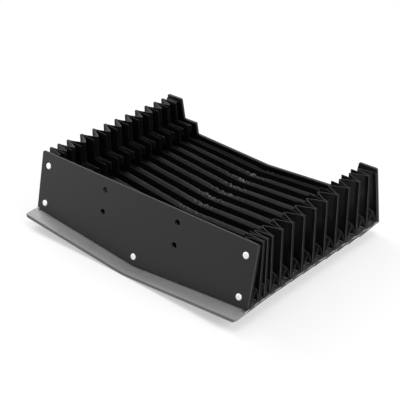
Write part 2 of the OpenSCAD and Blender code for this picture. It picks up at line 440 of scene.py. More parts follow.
class Effects:
    """The surface effects that finishes share, each a shader node group built once.

    Attributes:
        grain_detail: Detail of the grain and of its patches.
        patch_range: Noise at which a patch begins and is full.
        thread_share: Height of the threads beside their unevenness.
        thread_noise: Scale and detail of the threads' unevenness.
        line_stretch: Scale of the rolled lines by axis.
        band_stretch: Scale of the bands by axis.
        line_detail: Detail of the rolled lines.
        band: Scale and detail of the bands.
        smudge: Scale, detail and twist of the smudges.
        smudge_range: Noise at which a smudge begins and is full.
        speck_range: Distances from a speck's middle at which it is full and gone.
        dust_patch: Scale and detail of the patches that dust lies in.
        dust_patch_range: Noise at which such a patch begins and is full.
        dust_facing: Two upward parts of the normal, and the share of dust at each.
    """

    grain_detail = (3.0, 5.0)
    patch_range = (0.3, 0.7)
    thread_share = 0.5
    thread_noise = (900.0, 2)
    line_stretch = (0.02, 1.0, 1.0)
    band_stretch = (0.25, 1.0, 1.0)
    line_detail = 4
    band = (60.0, 4)
    smudge = (38.0, 6, 0.6)
    smudge_range = (0.56, 0.72)
    speck_range = (0.05, 0.12)
    dust_patch = (24.0, 4)
    dust_patch_range = (0.45, 0.65)
    dust_facing = (-0.2, 0.9, 0.15, 1)

    def __init__(self) -> None:
        """Builds the groups."""
        self.grain = self._grain()
        self.weave = self._weave()
        self.brushing = self._brushing()
        self.dust = self._dust()

    def _grain(self) -> Tree:
        """Builds the fine grain with slow patches.

        Returns:
            The group, with Height for bump and Patches for colour and roughness.
        """
        inputs = {"Vector": None, "Grain Scale": 1500.0, "Patch Scale": 30.0}
        sheet, given = Sheet.group("surface_grain", inputs, ("Height", "Patches"))
        place, grain_scale, patch_scale = given
        fine = sheet.noise(place, grain_scale, self.grain_detail[0])
        slow = sheet.noise(place, patch_scale, self.grain_detail[1])
        return sheet.close(fine, sheet.spread(slow, *self.patch_range))

    def _weave(self) -> Tree:
        """Builds the plain weave, on a UV map in metres.

        Returns:
            The group, with the Height of its threads, a little uneven.
        """
        inputs = {"Vector": None, "Threads": 2200.0}
        sheet, (place, threads) = Sheet.group("plain_weave", inputs, ("Height",))
        parts = sheet.add("SeparateXYZ", {0: place}).outputs
        turns = [sheet.math("MULTIPLY", part, threads) for part in list(parts)[:2]]
        waves = [sheet.math("SINE", sheet.math("MULTIPLY", turn, math.pi), 0) for turn in turns]
        height = sheet.math("MULTIPLY", sheet.math("MULTIPLY", *waves), self.thread_share)
        return sheet.close(sheet.math("ADD", height, sheet.noise(place, *self.thread_noise)))

    def _brushing(self) -> Tree:
        """Builds the marks of rolled steel.

        Returns:
            The group, with fine Lines along X, broad Bands and Smudges.
        """
        inputs = {"Vector": None, "Line Scale": 900.0}
        outputs = ("Lines", "Bands", "Smudges")
        sheet, (place, line_scale) = Sheet.group("rolled_steel", inputs, outputs)
        lines = sheet.noise(sheet.stretched(place, self.line_stretch), line_scale, self.line_detail)
        bands = sheet.noise(sheet.stretched(place, self.band_stretch), *self.band)
        smudges = sheet.noise(place, *self.smudge)
        return sheet.close(lines, bands, sheet.spread(smudges, *self.smudge_range))

    def _dust(self) -> Tree:
        """Builds the sparse specks of dust, more of them on what faces up.

        Returns:
            The group, with the Mask of the specks.
        """
        inputs = {"Vector": None, "Speck Scale": 420.0, "Amount": 0.5}
        sheet, (place, speck_scale, amount) = Sheet.group("fine_dust", inputs, ("Mask",))
        specks = sheet.add("TexVoronoi", {"Vector": place, "Scale": speck_scale}).outputs[0]
        small = sheet.spread(specks, *self.speck_range, 1, 0)
        patches = sheet.noise(place, *self.dust_patch)
        patches = sheet.spread(patches, *self.dust_patch_range)
        up = sheet.add("SeparateXYZ", {0: sheet.add("NewGeometry").outputs["Normal"]}).outputs[2]
        facing = sheet.spread(up, *self.dust_facing)
        mask = sheet.math("MULTIPLY", sheet.math("MULTIPLY", small, patches), facing)
        return sheet.close(sheet.math("MULTIPLY", mask, amount, clamp=True))


class Finish:
    """Base of a finish: one Principled shader on Object coordinates, with grain and dust.

    Its values are the tones and the roughness between which its patches vary, the scales of its
    grain and patches, the scale and amount of its dust, and its bump's distance and strength.
    """

    name = "finish"
    dark = grey(0.4)
    pale = grey(0.5)
    rough = (0.4, 0.5)
    gloss = 0.5
    metallic = 0.0
    grain = (1500.0, 45.0)
    dust = (600.0, 0.4)
    dust_tone = grey(0.2)
    relief = (0.0002, 0.25)

    def __init__(self, effects: Effects) -> None:
        """Starts the material.

        Args:
            effects: The shared effects.
        """
        self.effects = effects
        self.material = bpy.data.materials.new(self.name)
        self.material.use_nodes = True
        self.sheet = Sheet(self.material.node_tree)
        self.shader = self.sheet.add("BsdfPrincipled")
        self.sheet.add("OutputMaterial", {"Surface": self.shader.outputs[0]})
        self.place = self.sheet.add("TexCoord").outputs["Object"]

    def make(self) -> bpy.types.Material:
        """Builds the material, with its grain.

        Returns:
            The finished material.
        """
        scales = {"Vector": self.place, "Grain Scale": self.grain[0], "Patch Scale": self.grain[1]}
        grain = self.sheet.add("Group", scales, node_tree=self.effects.grain)
        height, patches = grain.outputs
        rough = self.sheet.spread(patches, 0, 1, *self.rough)
        return self.dress(self.colour(patches), rough, self.height(height))

    def dress(self, colour: Socket, rough: Socket, height: Socket) -> bpy.types.Material:
        """Feeds the shader.

        Args:
            colour: The surface's colour.
            rough: Its roughness.
            height: The height of its bump.

        Returns:
            The finished material.
        """
        distance, strength = self.relief
        keys = {"Height": height, "Distance": distance, "Strength": strength}
        values = {
            "Base Color": colour,
            "Roughness": rough,
            "Normal": self.sheet.add("Bump", keys).outputs[0],
            "Metallic": self.metallic,
            "Specular IOR Level": self.gloss,
        }
        for key, value in values.items():
            self.sheet.put(self.shader.inputs[key], value)
        return self.material

    def colour(self, patches: Socket) -> Socket:
        """The finish's colour, between its two tones by its patches."""
        return self.sheet.mix(patches, self.dark, self.pale)

    def height(self, grain: Socket) -> Socket:
        """The height of the finish's bump, its grain unless it has a pattern of its own."""
        return grain

    def dusty(self, colour: Socket) -> Socket:
        """Puts the specks of dust on a colour.

        Args:
            colour: The colour under the dust.

        Returns:
            The colour with the dust.
        """
        keys = {"Vector": self.place, "Speck Scale": self.dust[0], "Amount": self.dust[1]}
        specks = self.sheet.add("Group", keys, node_tree=self.effects.dust).outputs[0]
        return self.sheet.mix(specks, colour, self.dust_tone)


class PlatePaint(Finish):
    """Black powder coat, fine orange peel, painted highlight on its edges, painted shade in its
    bores.
    """

    name = "powder_coat_black"
    dark = grey(0.022, 0.0218)
    pale = grey(0.0245, 0.0242)
    # Painted highlight on the rounded edges.
    edge_highlight = grey(0.04, 0.0392)
    # Painted shade in the bores.
    bore_shade = grey(0.003)
    rough = (0.46, 0.5)
    gloss = 0.22
    grain = (1100.0, 14.0)
    dust = (520.0, 0.35)

    def colour(self, patches: Socket) -> Socket:
        """Colours the coat, its rounded edges with a painted highlight, dust, and its bores with
        painted shade.

        Args:
            patches: Where the finish is pale.

        Returns:
            The colour.
        """
        sheet = self.sheet
        # Painted highlight along the rounded edges, then dust, then painted shade in the bores.
        worn = sheet.mix(sheet.mask("edge"), super().colour(patches), self.edge_highlight)
        return sheet.mix(sheet.mask("bore"), self.dusty(worn), self.bore_shade)


class FramePlastic(Finish):
    """Black sheet plastic, dull on its faces, with painted shade on its cut walls and rounded
    edges.
    """

    name = "sheet_plastic_black"
    dark = grey(0.009, 0.0092)
    pale = grey(0.013, 0.0131)
    # Painted shade on the cut walls and rounded edges.
    cut_shade_tones = (grey(0.004), grey(0.007, 0.0069))
    rough = (0.42, 0.55)
    gloss = 0.03
    grain = (2400.0, 40.0)
    dust = (700.0, 0.6)
    dust_tone = grey(0.22, 0.21)
    relief = (0.00015, 0.2)

    def colour(self, patches: Socket) -> Socket:
        """Colours the faces, the cut edges with painted shade, and dust.

        Args:
            patches: Where the finish is pale.

        Returns:
            The colour.
        """
        # Painted shade: the edges are mixed towards a darker black.
        cut = self.sheet.mix(patches, *self.cut_shade_tones)
        mask = self.sheet.mask("edge")
        return self.dusty(self.sheet.mix(mask, super().colour(patches), cut))


class FabricCoating(Finish):
    """Coated side of the fabric: near black, satin, with the weave showing through faintly."""

    name = "fabric_coating_black"
    dark = grey(0.007, 0.0072)
    pale = grey(0.011, 0.0112)
    # Painted sheen on the floor's panels near the crest.
    sheen_tone = grey(0.011, 0.0112)
    # Pale tone for worn creases and pale seam edges, and for the painted highlights and glints on
    # the floor.
    crease = grey(0.34, 0.335)
    crease_range = (0.6, 1)
    rough = (0.4, 0.52)
    gloss = 0.14
    dust = (600.0, 0.45)
    dust_tone = grey(0.16, 0.155)
    relief = (0.00006, 0.35)
    threads = 1800.0

    def colour(self, patches: Socket) -> Socket:
        """Colours the coat, its painted sheen and painted highlights, its pale creases and seams,
        and dust.

        Args:
            patches: Where the finish is pale.

        Returns:
            The colour.
        """
        sheet = self.sheet
        # Painted sheen where the shine attribute is set.
        coat = sheet.mix(sheet.mask("shine"), super().colour(patches), self.sheen_tone)
        # The edge attribute carries the pale creases and seams and the painted highlights.
        broken = sheet.spread(patches, 0, 1, *self.crease_range)
        broken = sheet.math("MULTIPLY", sheet.mask("edge"), broken)
        return self.dusty(sheet.mix(broken, coat, self.crease))

    def height(self, grain: Socket) -> Socket:
        """Lays the weave on the fabric's UV map.

        Args:
            grain: The plain grain, which the weave takes the place of.

        Returns:
            The height of the threads.
        """
        cloth = self.sheet.add("UVMap", uv_map="cloth").outputs[0]
        keys = {"Vector": cloth, "Threads": self.threads}
        return self.sheet.add("Group", keys, node_tree=self.effects.weave).outputs[0]


class FabricBacking(FabricCoating):
    """Inner side of the fabric: a thinner coating, greyer, over a plainer weave."""

    name = "fabric_backing_grey"
    dark = grey(0.01, 0.0102)
    pale = grey(0.014)
    # Painted sheen, paler on this side, which faces the channel.
    sheen_tone = grey(0.05, 0.0495)
    rough = (0.32, 0.46)
    gloss = 0.05
    relief = (0.0001, 0.35)


class LamellaSteel(Finish):
    """Cold-rolled stainless sheet with fine lines along it, soft bands, a few smudges, painted
    shade and highlights.
    """

    name = "stainless_sheet"
    dark = (0.22, 0.222, 0.224, 1.0)
    pale = grey(0.27)
    smudge_tone = (0.125, 0.124, 0.118, 1.0)
    smudge_share = 0.8
    smudge_rough = 0.1
    # Painted shade on the hem, beside the folds and on the cut edges.
    hem_shade_tone = grey(0.07)
    hem_shade_share = 0.75
    # Painted highlight on the rims and thin cut edges.
    edge_highlight = grey(0.95)
    line_scale = 1100.0
    line_range = (0.3, 0.7)
    rough = (0.46, 0.58)
    gloss = 0.3
    metallic = 0.2
    anisotropy = 0.35
    relief = (0.00005, 0.3)

    def make(self) -> bpy.types.Material:
        """Builds the material, with rolled lines in place of grain.

        Returns:
            The finished material.
        """
        sheet = self.sheet
        keys = {"Vector": self.place, "Line Scale": self.line_scale}
        lines, bands, smudges = sheet.add("Group", keys, node_tree=self.effects.brushing).outputs
        marks = sheet.math("MULTIPLY", smudges, self.smudge_share)
        shade = sheet.math("MULTIPLY", sheet.mask("hem"), self.hem_shade_share)
        colour = sheet.mix(marks, super().colour(bands), self.smudge_tone)
        # Painted shade, then the painted highlight on the rims.
        colour = sheet.mix(shade, colour, self.hem_shade_tone)
        colour = sheet.mix(sheet.mask("edge"), colour, self.edge_highlight)
        rough = sheet.spread(lines, *self.line_range, *self.rough)
        rough = sheet.math("ADD", rough, sheet.math("MULTIPLY", smudges, self.smudge_rough))
        self.shader.inputs["Anisotropic"].default_value = self.anisotropy
        return self.dress(colour, rough, lines)


class RivetAluminium(Finish):
    """Bright aluminium with a fine drawn grain and a dull bloom."""

    name = "rivet_aluminium_bright"
    dark = grey(0.84, 0.83)
    pale = grey(0.94, 0.93)
    rough = (0.38, 0.5)
    metallic = 0.75
    grain = (2600.0, 300.0)
    relief = (0.0001, 0.15)


@dataclass(frozen=True)
class Finishes:
    """All the object's materials."""

    plate: bpy.types.Material
    frame: bpy.types.Material
    coating: bpy.types.Material
    backing: bpy.types.Material
    steel: bpy.types.Material
    rivet: bpy.types.Material

    @classmethod
    def make(cls) -> Finishes:
        """Builds the shared effects and every material.

        Returns:
            The materials.
        """
        effects = Effects()
        fabric = (FabricCoating, FabricBacking)
        kinds = (PlatePaint, FramePlastic, *fabric, LamellaSteel, RivetAluminium)
        return cls(*(kind(effects).make() for kind in kinds))


# Places of the support frames


@dataclass(frozen=True)
class Place:
    """Where a support frame stands, measured on its CAD node: it leans, and is turned a little.

    Attributes:
        across: The frame's own direction across the cover.
        up: Its own direction upwards.
        normal: Its own direction along the cover.
        middle: Its middle, measured along across.
        base: Height of its outline's corners, measured along up.
        front: Its front face, measured along normal.
        rear: Its rear face, measured along normal.
    """

    across: Vector
    up: Vector
    normal: Vector
    middle: float
    base: float
    front: float
    rear: float

    @classmethod
    def of_node(cls, node: Obj, side: float, square_to: Obj) -> Place:
        """Measures a frame.

        Args:
            node: The frame's CAD node.
            side: Height of the frame's top above the outline's corner.
            square_to: A CAD node with the same lean, whose two faces have the same outline.

        Returns:
            The frame's place.
        """
        points = cls._points(square_to)
        normal = Vector(np.linalg.svd(points - points.mean(axis=0), full_matrices=False)[2][2])
        if normal.y < 0:
            normal.negate()
        across = normal.cross(Vector((0, 0, 1))).normalized()
        up = across.cross(normal)
        corners = cls._points(node)
        x, h, f = (corners @ np.array(axis) for axis in (across, up, normal))
        return cls(across, up, normal, (x.min() + x.max()) / 2, h.max() - side, f.min(), f.max())

    @staticmethod
    def _points(node: Obj) -> np.ndarray:
        """A node's vertices, each place once."""
        return np.unique(np.round([v.co[:] for v in node.data.vertices], POINT_DIGITS), axis=0)

    def at(self, x: float, h: float, depth: float) -> Vector:
        """A point in the frame's own directions, at a depth along its normal."""
        return self.across * (self.middle + x) + self.up * (self.base + h) + self.normal * depth


@dataclass(frozen=True)
class Contour:
    """The outline and the channel that every support frame has, from its middle and its corner.

    Attributes:
        half: Half the outline's width.
        side: Height of the arms.
        arm: From the middle to the arms' inner sides.
        step: From the middle to the steps' sides.
        ledge: Height of the steps' tops.
        floor: Height of the channel's floor beside the steps.
        floor_drop: How much lower the floor is in the middle.
        lift: Height of the lower edge's ends above the corners.
        ridge_drop: How much lower the lower edge is in the middle.
    """

    half: float = 155 * MM
    side: float = 67.5 * MM
    arm: float = 131 * MM
    step: float = 111 * MM
    ledge: float = 43 * MM
    floor: float = 26.5 * MM
    floor_drop: float = 7 * MM
    lift: float = 2 * MM
    ridge_drop: float = 12 * MM

    def roof(self, x: float) -> float:
        """Height of the outline's lower edge at x."""
        return self.lift - (self.half - abs(x)) * self.ridge_drop / self.half


@dataclass(frozen=True)
class Station:
    """One cut across a fold: its point on the outline, its point on the valley, and the way in.

    Attributes:
        rim: Where it meets the outline.
        valley: Where it meets the valley.
        inward: The way in from the rim, in the frame's own directions.
        seam: Width of the welded seam.
        crease: How sharp the fabric is creased there, from 0 to 1.
    """

    rim: Vector
    valley: Vector
    inward: Vector
    seam: float
    crease: float = 0.0

    def blend(self, other: Station, share: float) -> Station:
        """Finds a station between this one and another.

        Args:
            other: The other station.
            share: How far it is on the way there, from 0 to 1.

        Returns:
            The station between them, without a crease.
        """
        ends = ((self.rim, other.rim), (self.valley, other.valley), (self.inward, other.inward))
        seam = self.seam + (other.seam - self.seam) * share
        return Station(*(a.lerp(b, share) for a, b in ends), seam)

    def mirrored(self) -> Station:
        """The station on the other half of the cover."""
        flip = [Vector((-p.x, p.y)) for p in (self.rim, self.valley, self.inward)]
        return Station(*flip, self.seam, self.crease)


@dataclass
class FabricFold:
    """One fold: two sheets of coated fabric, welded to two frames and to each other.

    The two sheets meet along the valley, which follows the frames' channel. A web closes each
    lower corner. Painted sheen and highlights on the floor, painted light on the far sides, and the
    pale seams and creases are kept as values of the mesh's points.

    Attributes:
        number: Its number from the front.
        ahead: Where the frame ahead of it stands.
        behind: Where the frame behind it stands.
        floor_shine: How strong the painted sheen and highlights on its floor are.
        side_shade: How pale the painted light on its rear sheet's sides is.
        contour: The frames' outline and channel.
        thickness: Thickness of the fabric.
        lay: Room between the fabric and its frame.
        seam: Width of the welded seam.
        seam_parts: Where the seam's points lie, as shares of its width.
        arm_gap: Room between the valley and the arms.
        floor_gap: Room between the valley and the steps and floor.
        opposite: Heights on the outline opposite the steps' tops and feet.
        web_height: Height of the web's tip above the lower edge.
        web_parting: How far beside the step's foot the web parts from the valley.
        web_foot: How far from the corner the web stands on the lower edge.
        web_lean: How far inside the outline the web's tip is.
        web_seam: Width of the welded seam at the web.
        crest: Half the width of the valley's rounded crest.
        crest_share: The same at most, as a share of the room between the frames.
        spacing: Distance between stations.
        fine_spacing: The same where the floor bends.
        panel_steps: Rows of faces in each sheet's panel.
        floor_facing: Upward part of the way in, above which a station is on the floor.
        bend_angle: Angle in degrees above which a bend is shaded sharp.
        ripple: Size and frequency of the valley's slow ripple.
        bulge: Even and uneven part of the panels' bulge, and its frequencies.
        full_bulge_span: Width of a panel from which it bulges fully.
        crumple_reach: How far the crumples reach from the floor's bend.
        crumple_wander: How far their middle moves sideways.
        pushes: Sizes and lengths of the valley's crumples along the cover.
        dents: Size and length of its dents.
        panel_crumple: Size and length of the panels' crumples.
        floor_fade: Way over which crumples and the painted sheen and highlights end before the
            steps.
        highlight: How pale the painted highlight on the floor's panels is.
        highlight_fade: How much less that is with each row away from the crest.
        highlight_patches: Least painted highlight, how much it varies, and its frequency.
        crest_highlight: How pale the painted highlight on the floor's crest is.
        glint: Strength, length and threshold of the painted glints on the crumples.
        leg: How pale the web's creases are, worn and with a painted highlight, on the front and on
            the rear sheet.
        leg_width: Width of those creases.
        seam_rims: How pale the seam's rim is, on the front and on the rear sheet.
        top_rim: How pale the fabric's upper ends are.
    """

    number: int
    ahead: Place
    behind: Place
    floor_shine: float = 1.0
    side_shade: float = 0.0
    contour: Contour = field(default_factory=Contour)
    thickness: float = 0.55 * MM
    lay: float = 0.05 * MM
    seam: float = 3.5 * MM
    seam_parts: tuple[float, ...] = (0.0, 0.08, 0.5, 1.0)
    arm_gap: float = 3.5 * MM
    floor_gap: float = 2.0 * MM
    opposite: tuple[float, float] = (26 * MM, 7 * MM)
    web_height: float = 16.0 * MM
    web_parting: float = 8.0 * MM
    web_foot: float = 15 * MM
    web_lean: float = 0.4 * MM
    web_seam: float = 0.9 * MM
    crest: float = 0.9 * MM
    crest_share: float = 0.2
    spacing: float = 2.6 * MM
    fine_spacing: float = 0.85 * MM
    panel_steps: int = 8
    floor_facing: float = 0.99
    bend_angle: float = 50.0
    ripple: tuple[float, float] = (0.6 * MM, 28.0)
    bulge: tuple[float, float, float, float] = (0.35 * MM, 0.8 * MM, 22.0, 30.0)
    full_bulge_span: float = 20 * MM
    crumple_reach: float = 19 * MM
    crumple_wander: float = 5 * MM
    pushes: tuple[tuple[float, float], ...] = ((1.5 * MM, 4 * MM), (0.6 * MM, 1.8 * MM))
    dents: tuple[float, float] = (0.8 * MM, 3.2 * MM)
    panel_crumple: tuple[float, float] = (0.9 * MM, 2.4 * MM)
    floor_fade: float = 14 * MM
    worn: float = 0.2
    highlight_fade: float = 0.5
    highlight_patches: tuple[float, float, float] = (0.8, 0.4, 45.0)
    crest_highlight: float = 0.08
    glint: tuple[float, float, float] = (1.5, 1.5 * MM, 0.25)
    leg: tuple[float, float] = (0.2, 0.5)
    leg_width: float = 0.7 * MM
    seam_rims: tuple[float, float] = (0.0, 0.18)
    top_rim: float = 0.15

    def stations(self) -> list[Station]:
        """Lays the fold's stations, close together where it bends.

        Returns:
            The stations, from the fold's left top to its right top.
        """
        keys = self._key_stations()
        right = [keys[0]]
        for near, far in zip(keys, keys[1:]):
            length = max((far.rim - near.rim).length, (far.valley - near.valley).length)
            count = max(2, math.ceil(length / self.spacing))
            shares = [k / count for k in range(1, count)]
            if far is keys[-1]:
                ridge = 2 * self.crumple_reach
                shares = [v for v in shares if v < 1 - ridge / length]
                count = math.ceil(ridge / self.fine_spacing)
                shares += [1 - ridge / length * (1 - k / count) for k in range(count)]
            thin = self.leg_width / length
            if far.crease:
                shares.append(1 - thin)
            if near.crease or near is keys[0]:
                shares.insert(0, thin)
            right += [*(near.blend(far, share) for share in shares), far]
        return [s.mirrored() for s in right[:-1]] + right[::-1]

    def _key_stations(self) -> list[Station]:
        """Places the corners of the right half.

        Returns:
            The stations at the arm's top and foot, the step, the web, the web's foot and the ridge.
        """
        c = self.contour
        ledge, low = c.ledge - self.floor_gap, c.floor - self.floor_gap
        step_x, arm_x = c.step + self.floor_gap, c.arm + self.arm_gap
        web_x, parting = c.half - self.web_foot, self.web_parting
        high, near_web = self.opposite
        web_tip = (c.half - self.web_lean, c.lift + self.web_height)
        side, floor = (-1, 0), (0, 1)
        rows = (
            ((c.half, c.side), (arm_x, c.side), side, self.seam),
            ((c.half, ledge), (arm_x, ledge), side, self.seam),
            ((c.half, high), (step_x, ledge), side, self.seam),
            ((c.half, near_web), (step_x, low + parting), side, self.seam),
            ((c.half, c.lift), web_tip, side, self.web_seam, 1),
            ((web_x, c.roof(web_x)), (step_x - parting, low), floor, self.seam),
            ((0, c.roof(0)), (0, low - c.floor_drop), floor, self.seam),
        )
        return [Station(*(Vector(p) for p in row[:3]), *row[3:]) for row in rows]

    def flat_area(self) -> float:
        """Measures the two sheets as they were cut, before they were welded.

        Returns:
            Their area, from the outline between the rim and the valley.
        """
        stations = self.stations()
        total = 0.0
        for a, b in zip(stations, stations[1:]):
            corners = [a.rim, b.rim, b.valley, a.valley]
            turns = [p.x * q.y - q.x * p.y for p, q in zip(corners, corners[1:] + corners[:1])]
            total += abs(sum(turns)) / 2
        return 2 * total

    def _crumpled(self, s: Station) -> float:
        """How much a station is crumpled, from 0 to 1: only where the channel's floor bends."""
        return self._near_ridge(s.valley.x) * self._on_floor(s)

    def _near_ridge(self, x: float) -> float:
        """How near x is to the floor's bend, from 0 to 1. Its middle varies from fold to fold."""
        middle = self.crumple_wander * math.sin(Draws.wander * self.number)
        return math.exp(-(((x - middle) / self.crumple_reach) ** 2))

    def _on_floor(self, s: Station) -> float:
        """How much a station belongs to the channel's floor: 1 there, 0 on the steps and arms."""
        run = (self.contour.step - abs(s.valley.x)) / self.floor_fade
        return min(1.0, max(0.0, run)) if s.inward.y > self.floor_facing else 0.0

    def _rough(self, x: float, wave: float, row: float) -> float:
        """Uneven steps between -1 and 1 along the valley, different in each fold and row."""
        step = Draws.at(x / wave, Draws.row * row, Draws.fold * self.number)
        return max(-1.0, min(1.0, 2.0 * step))

    def _ripple(self, s: Station) -> tuple[float, float]:
        """Ripples the valley at a station.

        Args:
            s: The station.

        Returns:
            How far the valley is pushed along the cover, and how far it is dented.
        """
        x, crumple = s.valley.x, self._crumpled(s)
        size, wave = self.ripple
        fold, level = Draws.ripple
        slow = Draws.at(x * wave, fold * self.number, level) * size
        push = sum(size * self._rough(x, wave, k) for k, (size, wave) in enumerate(self.pushes))
        dent, wave = self.dents
        return slow + push * crumple, (1 + self._rough(x, wave, Draws.dent_row)) * crumple * dent

    def _billow(self, s: Station, side: int, share: float) -> float:
        """Bulges a sheet at a station.

        Args:
            s: The station.
            side: -1 for the sheet ahead, 1 for the one behind.
            share: How far up the sheet, from its seam to the valley.

        Returns:
            How far it bulges.
        """
        x = s.valley.x
        plain, uneven, wave_x, wave_y = self.bulge
        far, fold = Draws.panel
        wave = Draws.at(x * wave_x + far * side, s.valley.y * wave_y, fold * self.number)
        size, step = self.panel_crumple
        row = Draws.panel_row + side + 0.5 * round(share * self.panel_steps)
        crumple = size * self._rough(x, step, row) * share * share * self._crumpled(s)
        return (plain + uneven * wave) * math.sin(math.pi * share) + crumple

    def _floor_highlight(self, s: Station, row: float) -> float:
        """Paints highlights on the fabric along the channel's floor, strongest as glints on its
        crumples.

        Args:
            s: The station.
            row: Which row of points, of which the last two are the valley's crest.

        Returns:
            How strong the painted highlight is, from 0 to 1.
        """
        x = s.valley.x
        # Painted highlight: paler patches on the floor, with painted glints on the crumples.
        least, more, wave = self.highlight_patches
        fold, level = Draws.worn
        patch = least + more * Draws.at(x * wave, fold * self.number, level)
        size, step, threshold = self.glint
        rough = self._rough(x, step, Draws.glint_row + row)
        glint = max(0.0, rough - threshold) * self._near_ridge(x)
        worn = self.crest_highlight if row >= self.panel_steps else self.worn
        return min(1.0, self.floor_shine * self._on_floor(s) * (worn * patch + size * glint))

    def _shine(self, s: Station, share: float) -> float:
        """How strong the painted sheen is at a share of the way from the frame to the valley."""
        return self.floor_shine * self._on_floor(s) * share**3

    def section(self, s: Station) -> Row:
        """Lays the points across the fold at a station.

        Args:
            s: The station.

        Returns:
            The points from the frame ahead over the valley to the one behind, with their painted
            light and pale marks.
        """
        clear = self.thickness / 2 + self.lay
        places = ((self.ahead, self.ahead.rear + clear), (self.behind, self.behind.front - clear))
        lengthways = (self.ahead.normal + self.behind.normal).normalized()
        into = (self.ahead.across * s.inward.x + self.ahead.up * s.inward.y).normalized()
        ends = [place.at(s.valley.x, s.valley.y, depth) for place, depth in places]
        push, dent = self._ripple(s)
        top = (ends[0] + ends[1]) / 2 + lengthways * push - into * dent
        round_off = min(self.crest, self.crest_share * (ends[1] - ends[0]).length)
        sheets = []
        for sign, (place, depth) in zip((-1, 1), places):
            seam = [s.rim + s.inward * (s.seam * part) for part in self.seam_parts]
            row = [(place.at(p.x, p.y, depth), 0.0) for p in seam]
            row[0] = (row[0][0], self.seam_rims[sign > 0])
            foot = row[-1][0]
            brow = top + lengthways * (sign * round_off) - into * round_off
            outward = into.cross(brow - foot).cross(brow - foot)
            outward = outward.normalized() if outward.length > TINY else lengthways
            if outward.dot(lengthways) * sign > 0:
                outward.negate()
            sheets.append(row + self._panel(s, sign, foot, brow, outward))
        return sheets[0] + [(top, self._floor_highlight(s, self.panel_steps + 1))] + sheets[1][::-1]

    def _panel(self, s: Station, sign: int, foot: Vector, brow: Vector, outward: Vector) -> Row:
        """Lays the points of one sheet between its seam and the valley.

        Args:
            s: The station.
            sign: -1 for the sheet ahead, 1 for the one behind.
            foot: Where the sheet leaves its seam.
            brow: Where it reaches the valley's crest.
            outward: The way against its bulge.

        Returns:
            The points with their painted light and pale marks.
        """
        span, steps = brow - foot, self.panel_steps
        # Painted light on the rear sheet's sides of the far folds.
        shade = self.side_shade if sign > 0 and s.inward.y < 0.5 else 0.0
        full = min(1.0, span.length / self.full_bulge_span)
        row = []
        for k in range(1, steps):
            worn = self._floor_highlight(s, k) * max(0.0, 1 - (steps - 1 - k) * self.highlight_fade)
            bulge = self._billow(s, sign, k / steps) * full
            light = max(worn, shade, self.leg[sign > 0] * s.crease)
            row.append((foot + span * (k / steps) - outward * bulge, light))
        return row + [(brow, max(shade, self._floor_highlight(s, steps)))]

    def build(self, finishes: Finishes) -> Obj:
        """Builds the fold's fabric.

        Args:
            finishes: The object's materials.

        Returns:
            The fabric's object.
        """
        stations = self.stations()
        rows = [self.section(s) for s in stations]
        for end in (0, -1):
            rows[end] = [(p, max(share, self.top_rim)) for p, share in rows[end]]
        wide = len(rows[0])
        name = f"fabric_{self.number:02d}"
        mesh = bpy.data.meshes.new(name)
        starts = [k * wide + j for k in range(len(rows) - 1) for j in range(wide - 1)]
        faces = [(a, a + 1, a + wide + 1, a + wide) for a in starts]
        mesh.from_pydata([tuple(p) for row in rows for p, _ in row], [], faces)
        add_values(mesh, "edge", "POINT", [share for row in rows for _, share in row])
        runs = [1 - abs(2 * j / (wide - 1) - 1) for j in range(wide)]
        add_values(mesh, "shine", "POINT", [self._shine(s, run) for s in stations for run in runs])
        self._lay_out(mesh, rows)
        piece = bpy.data.objects.new(name, mesh)
        link(piece)
        mesh.materials.append(finishes.coating)
        mesh.materials.append(finishes.backing)
        two_sided = {"material_offset": 1, "material_offset_rim": 0}
        apply_modifier(piece, "SOLIDIFY", thickness=self.thickness, offset=0.0, **two_sided)
        smooth(piece, self.bend_angle)
        return piece

    @staticmethod
    def _lay_out(mesh: bpy.types.Mesh, rows: list[Row]) -> None:
        """Gives the fabric a UV map in metres, along the fold and across it from the valley.

        Args:
            mesh: The fabric's mesh.
            rows: Its points, station by station.
        """
        wide = len(rows[0])
        along = [0.0]
        for a, b in zip(rows, rows[1:]):
            along.append(along[-1] + (b[2][0] - a[2][0]).length)
        across = []
        for row in rows:
            runs = [0.0]
            for a, b in zip(row, row[1:]):
                runs.append(runs[-1] + (b[0] - a[0]).length)
            across.append([run - runs[wide // 2] for run in runs])
        layer = mesh.uv_layers.new(name="cloth")
        for loop in mesh.loops:
            k, j = divmod(loop.vertex_index, wide)
            layer.data[loop.index].uv = (along[k], across[k][j])


